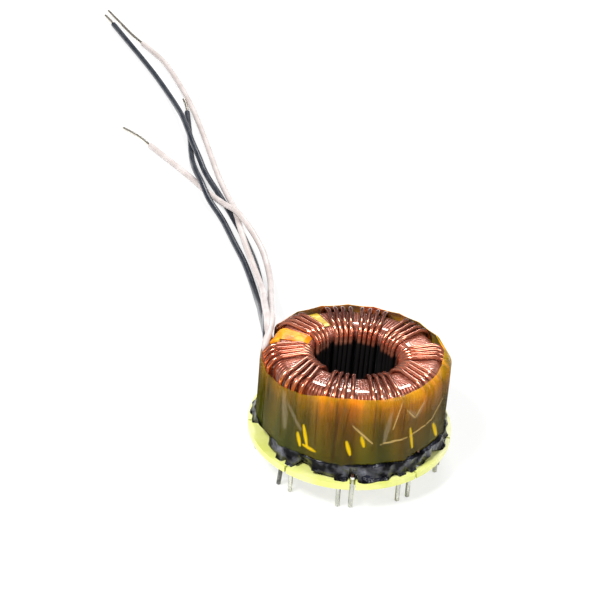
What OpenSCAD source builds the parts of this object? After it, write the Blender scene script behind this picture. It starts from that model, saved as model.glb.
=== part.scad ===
// Toroidal transformer on a round base disc: a ferrite ring with two fine windings under film,
// ten output windings of heavy copper wire, a film band, twenty pins and four loose leads.
// Origin at the middle of the plane that the pin tips stand on. Angles are measured from the
// front (-Y) towards +X.

/* [Ferrite core] */
// Outer diameter of the bare ring
core_od = 36; // [34:0.5:37]
// Inner diameter of the bare ring
core_id = 24; // [22:0.5:26]
// Height of the bare ring
core_h = 12.5; // [10:0.5:16]
// Radius of the ring's edges
core_edge = 1.0; // [0.6:0.1:1.4]
// Thickness of the insulating wrap on the core
wrap_t = 0.3; // [0.2:0.05:0.5]

/* [Inner windings] */
// Diameter of the fine wire
fine_wire_d = 0.55; // [0.4:0.05:0.7]
// How much more the first layer builds up inside the bore
bore_build = 0.25; // [0.1:0.05:0.4]
// Thickness of the film over each inner winding
film_t = 0.1; // [0.05:0.05:0.2]

/* [Output windings] */
// Diameter of the heavy copper wire
wire_d = 1.0; // [0.8:0.05:1.1]
// Clearance between the heavy wire and the film under it
wire_gap = 0.05; // [0.05:0.05:0.15]
// Slack of the heavy wire round the outside of the ring
outer_slack = 0.4; // [0:0.1:0.6]
// Angle between neighbouring turns round the outside
outer_pitch = 5.7; // [5.4:0.1:5.8]
// Angle between neighbouring turns in the bore
bore_pitch = 6.7; // [6.6:0.1:7.1]
// How far the wound ring leans back on its adhesive, in degrees
ring_lean = 4.5; // [0:0.5:4.5]
// How far the wound ring leans down to its right side, in degrees
ring_side_lean = 1; // [0:0.5:1]

/* [Film band] */
// Thickness of the film band round the outside
band_t = 0.15; // [0.1:0.05:0.3]
// Height of the band's lower edge above the underside of the windings
band_lift = 0.5; // [0.3:0.1:2]
// How far the band folds in over the shoulder, in degrees
band_fold = 48; // [20:2:70]

/* [Base disc] */
// Diameter of the base disc
base_d = 46; // [45:0.5:52]
// Thickness of the base disc
base_t = 1.5; // [1:0.1:3]
// Depth of the adhesive between the disc and the windings
bed_t = 1.9; // [1.8:0.1:2.4]
// Width of the thin slots in the rim
slot_w = 0.5; // [0.3:0.1:0.8]
// Width of the one slot that was opened out at the front
wide_slot_w = 1.3; // [1.1:0.1:1.6]

/* [Pins] */
// Diameter of a pin
pin_d = 1.0; // [0.8:0.05:1.05]
// How much thicker a pin is where it stands in the disc
pin_step = 0.35; // [0.35:0.05:0.45]
// Length of a pin below the disc
pin_below = 6.5; // [4:0.5:8]
// Height of a pin's head above the disc
pin_above = 0.5; // [0.4:0.1:0.7]
// Distance of the pins' circle from the disc's rim
pin_inset = 2.2; // [1.8:0.1:2.6]
// Half of the angle between the two pins of a pair
pin_half_angle = 3.9; // [3.4:0.1:4.2]
// Clearance round a pin in the disc
pin_clearance = 0.05; // [0.02:0.01:0.1]

/* [Leads] */
// Diameter of a lead over its insulation
lead_d = 1.6; // [1.2:0.1:1.6]
// Diameter of a lead's bare end
lead_core_d = 0.9; // [0.6:0.1:1]

/* [Hidden] */
$fn = 64;
tiny = 0.01;
wire_sides = 8;
corner_steps = 4;

// Each output winding: the angle of its middle round the outside, the angle of its middle in the
// bore, the angle of its two pins.
windings = [
    [351, 349, 360.6], [22, 25, 38.5], [57, 62, 78], [97, 92, 114], [136, 133, 146],
    [170, 167.5, 178], [195.5, 199, 210], [233, 234, 241], [284, 281, 273], [318, 311, 321.1]
];
turns = 4;
winding_count = len(windings);
pin_count = 2 * winding_count;
bent_pin = pin_count - 1;
bent_pin_lean = 6;
wide_slot_winding = 0;

// Levels, from the pin tips up
base_z = pin_below;
bed_z = base_z + base_t;
wire_r = wire_d / 2;
under_z = bed_z + bed_t;
stack_out = wrap_t + 2 * (fine_wire_d + film_t);
stack_bore = stack_out + bore_build;
core_z = under_z + wire_d + wire_gap + stack_out;
film_top = core_z + core_h + stack_out;

// The path of the heavy wire's centre round the ring's section
bend_r = core_edge + stack_out + wire_gap + wire_r;
run_outer = core_od / 2 + stack_out + wire_gap + outer_slack + wire_r;
run_bore = core_id / 2 - stack_bore - wire_gap - wire_r;
run_bottom = under_z + wire_r;
run_top = film_top + wire_gap + wire_r;
bend_outer = run_outer - bend_r;
bend_bore = run_bore + bend_r;

// The ring leans about the middle of its underside
lean_z = under_z + wire_r;

// Pins and the wires' tails, which run in a channel in the adhesive
pin_r = base_d / 2 - pin_inset;
pin_head_d = pin_d + pin_step;
pin_top = bed_z + pin_above;
tail_bend = 0.8 * wire_d;
tail_rise = 0.3 * wire_d;
tail_z = pin_top + tail_rise + tail_bend;
tail_spare = 3.7;
bend_share = 0.3;
inner_tail_r = bend_outer + 0.95;
channel_floor = 0.3;
bed_rim_t = 0.9;
channel_r0 = bend_outer - 0.15;
solder_foot_d = pin_head_d + 0.4;
solder_head_d = pin_head_d + 0.2;
channel_r1 = pin_r + solder_foot_d / 2 + 0.05;

// A tail that goes back under the ring: angles from its run at which it turns in and is level,
// angles from its pin at which it is last level and comes out, its first rise and its last step
back_turn = 1.5;
back_level = 4;
back_short = 3;
back_end = 2.5;
back_out = 0.6;
back_rise = 0.1;

// Outline of the adhesive on the disc: how far it lies outside the pins' circle, every 15
// degrees from the front
bed_outline = [1.3, 1.7, 1.6, 1.3, 1.4, 1.7, 1.6, 1.3, 1.5, 1.7, 1.4, 1.3,
               1.5, 1.7, 1.3, 1.5, 1.7, 1.4, 1.6, -1.5, -2, -0.3, -1.9, 0.1];
wall_t = 0.3;
wall_foot = 0.15;
shelf_z = tail_z + wire_r + 0.1;
shelf_top = shelf_z + 0.3;

// The adhesive's outer wall is missing between two angles at the left front, where an undercut
// skirt stands further in: each of its stretches has a start and an angle it covers
open_from = 280;
open_to = 341;
skirts = [[284, 22], [331, 9]];
skirt_inset = 0.6;
skirt_r = pin_r + min(bed_outline) - skirt_inset;
skirt_z = 6;
skirt_t = 0.25;

// Film band
film_fit = 0.05;
band_in = run_outer + wire_r + film_fit;
band_arc = bend_r + wire_r + film_fit;
band_bottom = under_z + band_lift;
joint = 0.02;
patch_joint = 0.03;
tape_t = 0.12;
lead_tape = [247.5, 264];
gap_tape = [212.5, 220.5];
tab_t = 0.5;
tab_angle = 3.6;
lead_angle = 256;
lead_notch = 28;
notch_depth = 3.5;

// Lead routes: points along the middle of each lead, from the coil outwards
long_black = [
    [-20.2, 5.6, 25.3], [-20.8, 12, 24.3], [-21.5, 21.5, 20.2], [-22, 32, 14.8], [-23, 44, 9.4],
    [-24, 53.5, 5], [-25.5, 63.5, 1.9], [-28, 75, 0.9], [-32, 87, 0.9], [-36, 97, 0.9],
    [-40.5, 107.5, 0.9], [-45.5, 118.5, 1.1], [-48.5, 126.5, 2], [-51, 133, 2.7], [-53, 139.5, 2.8],
    [-55.5, 147.5, 2.6], [-58, 155, 1.7], [-62, 165, 0.9], [-67, 175.5, 0.9], [-73, 187, 0.9],
    [-79, 198, 0.9], [-85, 209, 0.9]
];
long_black_end = [[-85, 209, 0.9], [-86.5, 211.75, 0.9], [-88.5, 215, 0.9]];
short_black = [
    [-19.7, 7.8, 23.2], [-20.8, 12.5, 21.9], [-21.8, 21.5, 17.9], [-22.9, 32, 12.7],
    [-24.2, 44, 7.4], [-25.5, 53.5, 3.4], [-27.5, 63.5, 1.3], [-30.5, 74, 0.9], [-34.5, 84.5, 0.9],
    [-38.5, 95, 0.9], [-43, 103.5, 1.8], [-46, 111, 2.8], [-48.3, 117.5, 2.4], [-49.9, 124, 1.3],
    [-51, 130, 0.9], [-52.2, 138, 0.9], [-53.6, 146, 0.9], [-55, 154, 0.9]
];
short_black_end = [[-55, 154, 0.9], [-55.7, 158, 0.9], [-57, 162, 0.9]];
long_white = [
    [-19.9, 6, 27.2], [-20.5, 12, 26.4], [-21.5, 21, 22.6], [-22.5, 32, 17.2], [-23.4, 43.5, 11.7],
    [-24.4, 53, 7.3], [-26, 62, 4.2], [-29, 73.5, 2.9], [-31, 80.5, 2.7], [-32.9, 87.5, 2.7],
    [-34.5, 94, 2.8], [-36, 99.5, 2.5], [-37.5, 105, 1.3], [-41.5, 116.5, 0.9], [-45.5, 130, 0.9],
    [-49.5, 143.5, 0.9], [-54, 157.5, 0.9], [-59, 170.5, 0.9], [-65, 184, 0.9], [-69.5, 191, 0.9],
    [-74, 197, 0.9]
];
long_white_end = [[-74, 197, 0.9], [-78, 202.5, 0.9], [-83, 210.5, 0.9], [-88, 218.5, 0.9]];
short_white = [
    [-18, 4.6, 27.3], [-18.6, 11.5, 26.2], [-19.6, 21, 21.3], [-20.4, 32, 15.6], [-21.3, 44, 9.8],
    [-22.2, 53.5, 5.6], [-23, 63.5, 2.6], [-24.5, 73, 1.2], [-26.5, 80, 1.7], [-29.5, 86, 3],
    [-32.9, 91, 4.5], [-35.5, 95, 4.4], [-38.5, 99.5, 3.1], [-42.5, 106.5, 1.3], [-45, 110, 0.9],
    [-47.5, 113.5, 0.9], [-53, 120.5, 0.9], [-58, 126.5, 0.9], [-63, 132.5, 0.9]
];
short_white_end = [[-63, 132.5, 0.9], [-67, 137.3, 0.9], [-72, 141.5, 0.9]];

// ---- functions ----

// A point of the wound ring after the ring has leaned
function lean(p) =
    let (y = p.y * cos(ring_lean) + (p.z - lean_z) * sin(ring_lean),
         z = (p.z - lean_z) * cos(ring_lean) - p.y * sin(ring_lean))
    [p.x * cos(ring_side_lean) + z * sin(ring_side_lean), y,
     z * cos(ring_side_lean) - p.x * sin(ring_side_lean) + lean_z];

// A point at radius r, angle a from the front, and height z
function at(r, a, z) = [r * sin(a), -r * cos(a), z];
function unit(v) = v / norm(v);

// Points of an arc in the (r, z) plane
function arc(cr, cz, rad, a0, a1, steps) =
    [for (i = [0:steps]) let (a = a0 + (a1 - a0) * i / steps) [cr + rad * cos(a), cz + rad * sin(a)]];

// Section of the core with a layer of some thickness round it: out is the layer's depth outside,
// above and below, and bore its depth inside the bore
function ring_section(out, bore) =
    let (c = core_edge + out,
         r0 = core_id / 2 - bore, r1 = core_od / 2 + out,
         z0 = core_z - out, z1 = core_z + core_h + out)
    concat(arc(r1 - c, z1 - c, c, 0, 90, 6), arc(r0 + c, z1 - c, c, 90, 180, 6),
           arc(r0 + c, z0 + c, c, 180, 270, 6), arc(r1 - c, z0 + c, c, 270, 360, 6));

// A smooth run of points through a list of points, with steps spaces between each two
function spline(p, steps) = [
    for (i = [0:len(p) - 2]) for (k = [0:(i == len(p) - 2 ? steps : steps - 1)])
        let (t = k / steps,
             b = p[i], c = p[i + 1],
             a = i == 0 ? 2 * b - c : p[i - 1],
             d = i == len(p) - 2 ? 2 * c - b : p[i + 2])
        0.5 * (2 * b + (c - a) * t + (2 * a - 5 * b + 4 * c - d) * t * t
               + (3 * b - 3 * c + d - a) * t * t * t)
];

// Directions along a path, and a sideways direction carried along it without twist
function tangents(p) = [
    for (i = [0:len(p) - 1]) unit(p[min(i + 1, len(p) - 1)] - p[max(i - 1, 0)])
];
function square_to(n, t) = unit(n - (n * t) * t);
function sideways(t) = [
    for (i = 0, n = square_to(abs(t[0].z) > 0.8 ? [1, 0, 0] : [0, 0, 1], t[0]);
         i < len(t);
         i = i + 1, n = i < len(t) ? square_to(n, t[i]) : n) n
];

// ---- general modules ----

// A round wire or tube along a path
module tube_along(path, d, sides) {
    t = tangents(path);
    s = sideways(t);
    last = len(path) - 1;
    points = [
        for (i = [0:last]) for (k = [0:sides - 1])
            let (a = 360 * (k + 0.5) / sides)
            path[i] + d / 2 * (cos(a) * s[i] + sin(a) * cross(t[i], s[i]))
    ];
    walls = [
        for (i = [0:last - 1]) for (k = [0:sides - 1])
            let (n = (k + 1) % sides, a = i * sides, b = a + sides)
            each [[b + n, a + n, a + k], [b + k, b + n, a + k]]
    ];
    ends = [
        [for (k = [0:sides - 1]) k],
        [for (k = [sides - 1:-1:0]) last * sides + k]
    ];
    polyhedron(points, concat(walls, ends), convexity = 10);
}

module leaned() {
    translate([0, 0, lean_z]) rotate([-ring_lean, ring_side_lean, 0]) translate([0, 0, -lean_z]) children();
}

module ring_of(section) leaned() rotate_extrude(convexity = 6) polygon(section);

// A layer that covers the ring all round, between two depths over the core
module layer(out0, bore0, out1, bore1) {
    difference() {
        ring_of(ring_section(out1, bore1));
        ring_of(ring_section(out0, bore0));
    }
}

// A patch over the clear film between two angles
module patch(a0, a1, thick, r_min, z_min) {
    leaned() rotate([0, 0, a0 - 90])
        rotate_extrude(angle = a1 - a0, convexity = 6)
            intersection() {
                difference() {
                    polygon(ring_section(stack_out + thick, stack_bore + thick));
                    polygon(ring_section(stack_out + patch_joint, stack_bore + patch_joint));
                }
                translate([r_min, z_min]) square([core_od, core_h + 2 * core_z]);
            }
}

// ---- the wound ring ----

module ferrite_core() color("#3a3a3e") ring_of(ring_section(0, 0));

module core_wrap() color("#d9b23c") layer(0, 0, wrap_t, wrap_t);

module primary_winding() {
    color("#b5653a")
        layer(wrap_t, wrap_t, wrap_t + fine_wire_d, wrap_t + fine_wire_d + bore_build);
}

module primary_film() {
    inner = wrap_t + fine_wire_d;
    color("#e3d9a0") layer(inner, inner + bore_build, inner + film_t, inner + film_t + bore_build);
}

module auxiliary_winding() {
    inner = wrap_t + fine_wire_d + film_t;
    outer = inner + fine_wire_d;
    color("#c0703f") layer(inner, inner + bore_build, outer, outer + bore_build);
}

module clear_film() {
    color("#d88a4e") layer(stack_out - film_t, stack_bore - film_t, stack_out, stack_bore);
}

module leadout_tape() {
    color("#f0a020") patch(lead_tape[0], lead_tape[1], tape_t, core_id / 2 - 1, core_z + core_h / 3);
}

module side_tape() color("#b9a63a") patch(gap_tape[0], gap_tape[1], tape_t, core_id / 2, core_z + core_h / 3);

// The folded end of the tape beside the four leads
module lead_tab() {
    c = core_edge + stack_out;
    cr = core_od / 2 + stack_out - c;
    cz = core_z + core_h + stack_out - c;
    lowest = c + patch_joint;
    highest = lowest + tab_t;
    color("#e8871e")
        leaned() rotate([0, 0, lead_angle + lead_notch / 2 - 1.5 * tab_angle - 90])
            rotate_extrude(angle = tab_angle, convexity = 4)
                polygon(concat(arc(cr, cz, lowest, 0, 84, 6), arc(cr, cz, highest, 84, 0, 6)));
}

// ---- output windings ----

// The angle of a turn round the outside and in the bore, counted from 0
function outer_at(w, i) = w[0] + (i - (turns - 1) / 2) * outer_pitch;
function bore_at(w, i) = w[1] + (i - (turns - 1) / 2) * bore_pitch;

// One bend of a turn, at one angle
function bend(cr, cz, a0, a) = [
    for (q = arc(cr, cz, bend_r, a0, a0 + 90, corner_steps)) lean(at(q[0], a, q[1]))
];

// A point on the outside of the leaning ring at a height over the pin tips
function foot(a, z) = let (p = lean(at(run_outer, a, lean_z))) [p.x, p.y, z];

// One turn: up the outside, over the ring, down the bore and out at the bottom
function turn(w, i) = concat(
    i == 0 ? [] : bend(bend_outer, run_bottom + bend_r, 270, outer_at(w, i)),
    bend(bend_outer, run_top - bend_r, 0, outer_at(w, i)),
    bend(bend_bore, run_top - bend_r, 90, bore_at(w, i)),
    bend(bend_bore, run_bottom + bend_r, 180, bore_at(w, i))
);

// The tail from the first pin to the foot of the first turn
function start_tail(w) =
    let (a0 = w[2] - pin_half_angle, a1 = outer_at(w, 0), s = sign(a1 - a0),
         turn_in = min(tail_bend / pin_r * 180 / PI, abs(a1 - a0) / 3))
    [at(pin_r, a0, pin_top),
     at(pin_r, a0, pin_top + tail_rise),
     at(pin_r, a0 + s * turn_in * bend_share, pin_top + tail_rise + tail_bend * (1 - bend_share)),
     at(pin_r, a0 + s * turn_in, tail_z),
     foot(a1 - s * turn_in, tail_z),
     foot(a1 - s * turn_in * bend_share, tail_z + tail_bend * bend_share),
     foot(a1, tail_z + tail_bend)];

// The tail from the last turn's run under the ring to the second pin. Where the pin lies well
// before the run, the tail goes back under the ring first
function end_tail(w) =
    let (a1 = w[2] + pin_half_angle,
         a0 = max(a1, outer_at(w, turns - 1) + tail_spare),
         b = tail_bend,
         start = lean(at(bend_outer, a0, run_bottom)),
         onto_pin = [for (q = arc(pin_r - b, tail_z - b, b, 90, 0, 3)) at(q[0], a1, q[1])])
    concat([start],
           a0 - a1 < tail_spare ? []
               : [at(inner_tail_r, a0 - back_turn, tail_z + back_rise),
                  at(inner_tail_r, max(a0 - back_level, a1 + back_short), tail_z),
                  at(inner_tail_r, a1 + back_end, tail_z),
                  at(inner_tail_r + back_out, a1 + back_out, tail_z)],
           onto_pin,
           [at(pin_r, a1, pin_top)]);

function winding_path(w) = concat(
    start_tail(w),
    [for (i = [0:turns - 1]) each turn(w, i)],
    end_tail(w)
);

module output_winding(k) color("#b4532c") tube_along(winding_path(windings[k]), wire_d, wire_sides);

// ---- film band ----

module outer_band() {
    cz = run_top - bend_r;
    profile = concat(
        [[band_in, band_bottom]],
        arc(bend_outer, cz, band_arc, 0, band_fold, 5),
        arc(bend_outer, cz, band_arc + band_t, band_fold, 0, 5),
        [[band_in + band_t, band_bottom]]
    );
    color("#a98a2a")
        difference() {
            ring_of(profile);
            leaned() rotate([0, 0, lead_angle - lead_notch / 2 - 90])
                rotate_extrude(angle = lead_notch, convexity = 4)
                    translate([core_id / 2, cz - notch_depth]) square([core_od, core_od]);
            below(shelf_top + joint);
        }
}

// ---- base ----

function pin_angle(i) =
    let (w = windings[floor((i - 1) / 2)]) w[2] + (i % 2 == 1 ? -pin_half_angle : pin_half_angle);

module at_pins(list) for (i = list) rotate([0, 0, pin_angle(i) - 90]) translate([pin_r, 0, 0]) children();

// Everything below a height, as a block
module below(z) translate([-base_d, -base_d, 0]) cube([2 * base_d, 2 * base_d, z]);

// The adhesive round the channel: a pad on the disc and the middle that the ring lies on
module bed_pad() {
    n = len(bed_outline);
    outline = spline([for (i = [0:n]) at(pin_r + bed_outline[i % n], 360 * i / n, 0)], 4);
    difference() {
        union() {
            translate([0, 0, bed_z])
                linear_extrude(bed_rim_t) polygon([for (i = [0:len(outline) - 2]) [outline[i].x, outline[i].y]]);
            translate([0, 0, bed_z]) cylinder(r = channel_r0 + tiny, h = 2 * bed_t);
        }
        leaned() translate([0, 0, under_z]) cylinder(r = channel_r0 + 1, h = base_d);
    }
}

// The adhesive's outer wall with its shelf, and the collar that meets the film band
module bed_wall() {
    difference() {
        union() {
            rotate_extrude(convexity = 6)
                polygon([[channel_r1 - tiny, bed_z + tiny], [channel_r1 + wall_t + wall_foot, bed_z + tiny],
                         [channel_r1 + wall_t, shelf_z], [band_in + band_t + wall_t, shelf_top],
                         [band_in - joint, shelf_top], [band_in - joint, shelf_z],
                         [channel_r1 - tiny, shelf_z]]);
            difference() {
                ring_of([[band_in + film_fit, bed_z], [band_in + band_t + 2 * film_fit, bed_z],
                         [band_in + band_t + 2 * film_fit, band_bottom - joint],
                         [band_in + film_fit, band_bottom - joint]]);
                below(shelf_top - 2 * film_fit);
            }
        }
        rotate([0, 0, open_from - 90])
            rotate_extrude(angle = open_to - open_from, convexity = 4)
                translate([channel_r0, bed_z - 1]) square([base_d, 2 * core_z]);
    }
}

// The undercut skirt from the film band down to the pad
module bed_skirts() {
    difference() {
        for (s = skirts)
            leaned() rotate([0, 0, s[0] - 90])
                rotate_extrude(angle = s[1], convexity = 4)
                    polygon([[skirt_r, skirt_z], [skirt_r + skirt_t, skirt_z],
                             [band_in + skirt_t, band_bottom - joint], [band_in, band_bottom - joint]]);
        below(bed_z + channel_floor / 3);
    }
}

module adhesive_bed() {
    color("#16181f")
        difference() {
            union() {
                difference() {
                    bed_pad();
                    difference() {
                        translate([0, 0, bed_z + channel_floor])
                            cylinder(r = channel_r1, h = shelf_z - bed_z - channel_floor);
                        translate([0, 0, bed_z]) cylinder(r = channel_r0, h = 2 * bed_t);
                    }
                }
                bed_wall();
                bed_skirts();
            }
            translate([0, 0, bed_z - 1]) at_pins([1:pin_count]) cylinder(d = pin_head_d, h = shelf_z - bed_z + 1);
            rotate([0, 0, pin_angle(2 * wide_slot_winding + 2) - 90])
                translate([pin_r, -wide_slot_w / 2, bed_z - 1]) cube([base_d, wide_slot_w, shelf_z - bed_z + 1]);
        }
}

module base_disc() {
    color("#dfe5a0")
        difference() {
            translate([0, 0, base_z]) cylinder(d = base_d, h = base_t, $fn = 128);
            translate([0, 0, base_z - 1])
                at_pins([1:pin_count]) cylinder(d = pin_head_d + 2 * pin_clearance, h = base_t + 2);
            for (k = [0:winding_count - 1]) {
                w = k == wide_slot_winding ? wide_slot_w : slot_w;
                rotate([0, 0, pin_angle(2 * k + 2) - 90])
                    translate([pin_r, -w / 2, base_z - 1]) cube([base_d, w, base_t + 2]);
            }
        }
}

// The part of a pin below the disc, with a tapered tip and some length to spare at its top
module pin_leg(spare) {
    tip = pin_d / 4;
    translate([0, 0, -pin_below]) {
        translate([0, 0, tip]) cylinder(d = pin_d, h = pin_below - tip + spare);
        cylinder(d1 = pin_d / 2, d2 = pin_d, h = tip);
    }
}

module pin(i) {
    color("#c9ccd0")
        at_pins([i]) translate([0, 0, base_z]) {
            cylinder(d = pin_head_d, h = pin_top - base_z);
            if (i == bent_pin) rotate([-bent_pin_lean, 0, 0]) pin_leg(pin_d / 4);
            else pin_leg(0);
        }
}

module solder_joints() {
    top = tail_rise + pin_above - channel_floor;
    color("#d8dade")
        at_pins([1:pin_count])
            translate([0, 0, bed_z + channel_floor])
                difference() {
                    cylinder(d1 = solder_foot_d, d2 = solder_head_d, h = top);
                    translate([0, 0, -1]) cylinder(d = pin_head_d, h = top + 2);
                }
}

// ---- leads ----

module lead(route, c) color(c) tube_along(spline(route, 2), lead_d, 8);
module bare_end(route) color("#c8b8a0") tube_along(spline(route, 2), lead_core_d, 8);

ferrite_core();
core_wrap();
primary_winding();
primary_film();
auxiliary_winding();
clear_film();
leadout_tape();
side_tape();
lead_tab();
for (i = [1:winding_count]) output_winding(i - 1);
outer_band();
adhesive_bed();
base_disc();
for (i = [1:pin_count]) pin(i);
solder_joints();
lead(long_black, "#26262c");  // lead_black_long
lead(short_black, "#26262c");  // lead_black_short
lead(long_white, "#f2eae6");  // lead_white_long
lead(short_white, "#f2eae6");  // lead_white_short
bare_end(long_black_end);  // bare_end_black_long
bare_end(short_black_end);  // bare_end_black_short
bare_end(long_white_end);  // bare_end_white_long
bare_end(short_white_end);  // bare_end_white_short
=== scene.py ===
import math
import random
import bmesh
import bpy
from mathutils import Matrix, Vector, noise


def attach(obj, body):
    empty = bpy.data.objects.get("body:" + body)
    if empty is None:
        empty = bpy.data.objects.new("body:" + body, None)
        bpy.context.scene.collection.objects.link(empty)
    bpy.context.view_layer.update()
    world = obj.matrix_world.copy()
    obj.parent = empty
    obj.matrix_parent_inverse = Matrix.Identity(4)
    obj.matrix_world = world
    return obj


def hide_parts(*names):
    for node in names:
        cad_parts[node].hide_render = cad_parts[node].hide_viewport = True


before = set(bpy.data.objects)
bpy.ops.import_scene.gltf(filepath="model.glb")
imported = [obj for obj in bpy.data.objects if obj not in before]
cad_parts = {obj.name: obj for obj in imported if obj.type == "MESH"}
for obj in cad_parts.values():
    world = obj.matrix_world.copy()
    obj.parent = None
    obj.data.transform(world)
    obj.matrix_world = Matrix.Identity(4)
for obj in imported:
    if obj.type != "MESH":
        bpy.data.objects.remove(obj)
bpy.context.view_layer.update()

# The ferrite ring and its wrap.
# A dark grey sintered ring with rounded edges, wound once round with tape so that the enamelled
# wire above it isn't scratched. Both are hidden once the windings are on.
mm = 0.001
core_outer_r, core_bore_r, core_bottom, core_height, core_edge = 18.0, 12.0, 12.55, 12.5, 1.0


def unevenness_group():
    """A shader group: a mask that wanders over the surface, a finer one, and a bump from both."""
    group = bpy.data.node_groups.new("unevenness", "ShaderNodeTree")
    face = group.interface
    for name, kind, value in [
        ("Grain per metre", "NodeSocketFloat", 400.0),
        ("Stretch", "NodeSocketVector", (1, 1, 1)),
        ("Seed", "NodeSocketFloat", 0.0),
        ("Bump strength", "NodeSocketFloat", 0.2),
        ("Bump depth", "NodeSocketFloat", 0.0001),
    ]:
        face.new_socket(name, in_out="INPUT", socket_type=kind).default_value = value
    for name, kind in [("Mask", "NodeSocketFloat"), ("Fine mask", "NodeSocketFloat"),
                       ("Normal", "NodeSocketVector")]:
        face.new_socket(name, in_out="OUTPUT", socket_type=kind)
    n, link = group.nodes, group.links.new
    given, out = n.new("NodeGroupInput"), n.new("NodeGroupOutput")
    place, stretch = n.new("ShaderNodeTexCoord"), n.new("ShaderNodeVectorMath")
    stretch.operation = "MULTIPLY"
    link(place.outputs["Object"], stretch.inputs[0])
    link(given.outputs["Stretch"], stretch.inputs[1])
    coarse, fine, finer = n.new("ShaderNodeTexNoise"), n.new("ShaderNodeTexNoise"), n.new("ShaderNodeMath")
    finer_by, fine_share = 5.3, 0.35
    finer.operation, finer.inputs[1].default_value = "MULTIPLY", finer_by
    link(given.outputs["Grain per metre"], finer.inputs[0])
    for tex, scale in [(coarse, given.outputs["Grain per metre"]), (fine, finer.outputs[0])]:
        tex.noise_dimensions = "4D"
        tex.inputs["Detail"].default_value = 3.0
        link(stretch.outputs[0], tex.inputs["Vector"])
        link(given.outputs["Seed"], tex.inputs["W"])
        link(scale, tex.inputs["Scale"])
    both, bump = n.new("ShaderNodeMath"), n.new("ShaderNodeBump")
    both.operation, both.inputs[1].default_value = "MULTIPLY_ADD", fine_share
    link(fine.outputs["Fac"], both.inputs[0])
    link(coarse.outputs["Fac"], both.inputs[2])
    link(both.outputs[0], bump.inputs["Height"])
    link(given.outputs["Bump strength"], bump.inputs["Strength"])
    link(given.outputs["Bump depth"], bump.inputs["Distance"])
    for socket, source in [("Mask", coarse.outputs["Fac"]), ("Fine mask", fine.outputs["Fac"]),
                           ("Normal", bump.outputs[0])]:
        link(source, out.inputs[socket])
    return group


unevenness = unevenness_group()


class Finish:
    """A material in the making: its nodes, and short ways to add what varies over the surface."""

    def __init__(self, name, colour, roughness, **plain):
        self.material = bpy.data.materials.new(name)
        self.material.use_nodes = True
        self.nodes, self.link = self.material.node_tree.nodes, self.material.node_tree.links.new
        self.shader = self.nodes["Principled BSDF"]
        self.shader.inputs["Base Color"].default_value = (*colour, 1)
        self.shader.inputs["Roughness"].default_value = roughness
        for socket, value in plain.items():
            self.shader.inputs[socket.replace("_", " ")].default_value = value

    def uneven(self, grain, stretch=(1, 1, 1), seed=0.0, strength=0.2, depth=0.0001, normal=True):
        """Masks with that many grains to the metre, and a bump in metres unless normal is off."""
        node = self.nodes.new("ShaderNodeGroup")
        node.node_tree = unevenness
        for socket, value in zip(node.inputs, (grain, stretch, seed, strength, depth)):
            socket.default_value = value
        if normal:
            self.link(node.outputs["Normal"], self.shader.inputs["Normal"])
        return node

    def ramp(self, source, *stops):
        """A colour that goes through the stops, each a place and its colour."""
        node = self.nodes.new("ShaderNodeValToRGB")
        while len(node.color_ramp.elements) < len(stops):
            node.color_ramp.elements.new(0.5)
        for element, (at, colour) in zip(node.color_ramp.elements, stops):
            element.position = at
            element.color = (*colour, 1)
        self.link(source, node.inputs["Fac"])
        return node.outputs["Color"]

    def between(self, source, low, high, start=0.35, end=0.65):
        """A value from low to high as the source goes from start to end."""
        node = self.nodes.new("ShaderNodeMapRange")
        for socket, value in [("From Min", start), ("From Max", end), ("To Min", low), ("To Max", high)]:
            node.inputs[socket].default_value = value
        self.link(source, node.inputs["Value"])
        return node.outputs["Result"]

    def mix(self, amount, first, second, blend="MIX"):
        """One colour over another, by an amount that may vary over the surface."""
        node = self.nodes.new("ShaderNodeMix")
        node.data_type, node.blend_type = "RGBA", blend
        for socket, value in [("Factor_Float", amount), ("A_Color", first), ("B_Color", second)]:
            target = next(s for s in node.inputs if s.identifier == socket)
            if isinstance(value, bpy.types.NodeSocket):
                self.link(value, target)
            else:
                target.default_value = value if isinstance(value, float) else (*value, 1)
        return next(s for s in node.outputs if s.identifier == "Result_Color")

    def painted(self, name):
        """What was painted on the piece's own points under that name."""
        node = self.nodes.new("ShaderNodeAttribute")
        node.attribute_name = name
        return node

    def give(self, socket, source):
        self.link(source, self.shader.inputs[socket])

    def mottle(self, masks, *stops):
        """The colour wanders through the stops with the coarser mask."""
        self.give("Base Color", self.ramp(masks.outputs["Mask"], *stops))


def dress(node_name, finish):
    """The part's own solid keeps its shape and gets a finish."""
    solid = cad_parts[node_name]
    solid.data.materials.clear()
    solid.data.materials.append(finish.material)


ferrite = Finish("ferrite", (0.045, 0.045, 0.05), 0.6)
grey = ferrite.uneven(900, strength=0.35)
ferrite.mottle(grey, (0.3, (0.03, 0.03, 0.035)), (0.7, (0.08, 0.08, 0.085)))
dress("ferrite_core", ferrite)
wrap_tape = Finish("core_tape", (0.70, 0.42, 0.06), 0.35)
yellow = wrap_tape.uneven(500, stretch=(1, 1, 0.2), seed=1.0)
wrap_tape.mottle(yellow, (0.3, (0.60, 0.33, 0.04)), (0.7, (0.78, 0.5, 0.08)))
dress("core_wrap", wrap_tape)

# The primary winding under its film.
# A close layer of fine enamelled wire, hidden under a film and the second layer. The whole wound
# ring leans a little backwards and to its side on the disc.
lean_back, lean_side, lean_height = math.radians(-4.5), math.radians(1.0), 10.4


def distance_from_axis(n, link, parts):
    """How far out a point is, from its separate x and y."""
    flat, reach = n.new("ShaderNodeCombineXYZ"), n.new("ShaderNodeVectorMath")
    reach.operation = "LENGTH"
    link(parts.outputs["X"], flat.inputs["X"])
    link(parts.outputs["Y"], flat.inputs["Y"])
    link(flat.outputs[0], reach.inputs[0])
    return reach.outputs["Value"]


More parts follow.
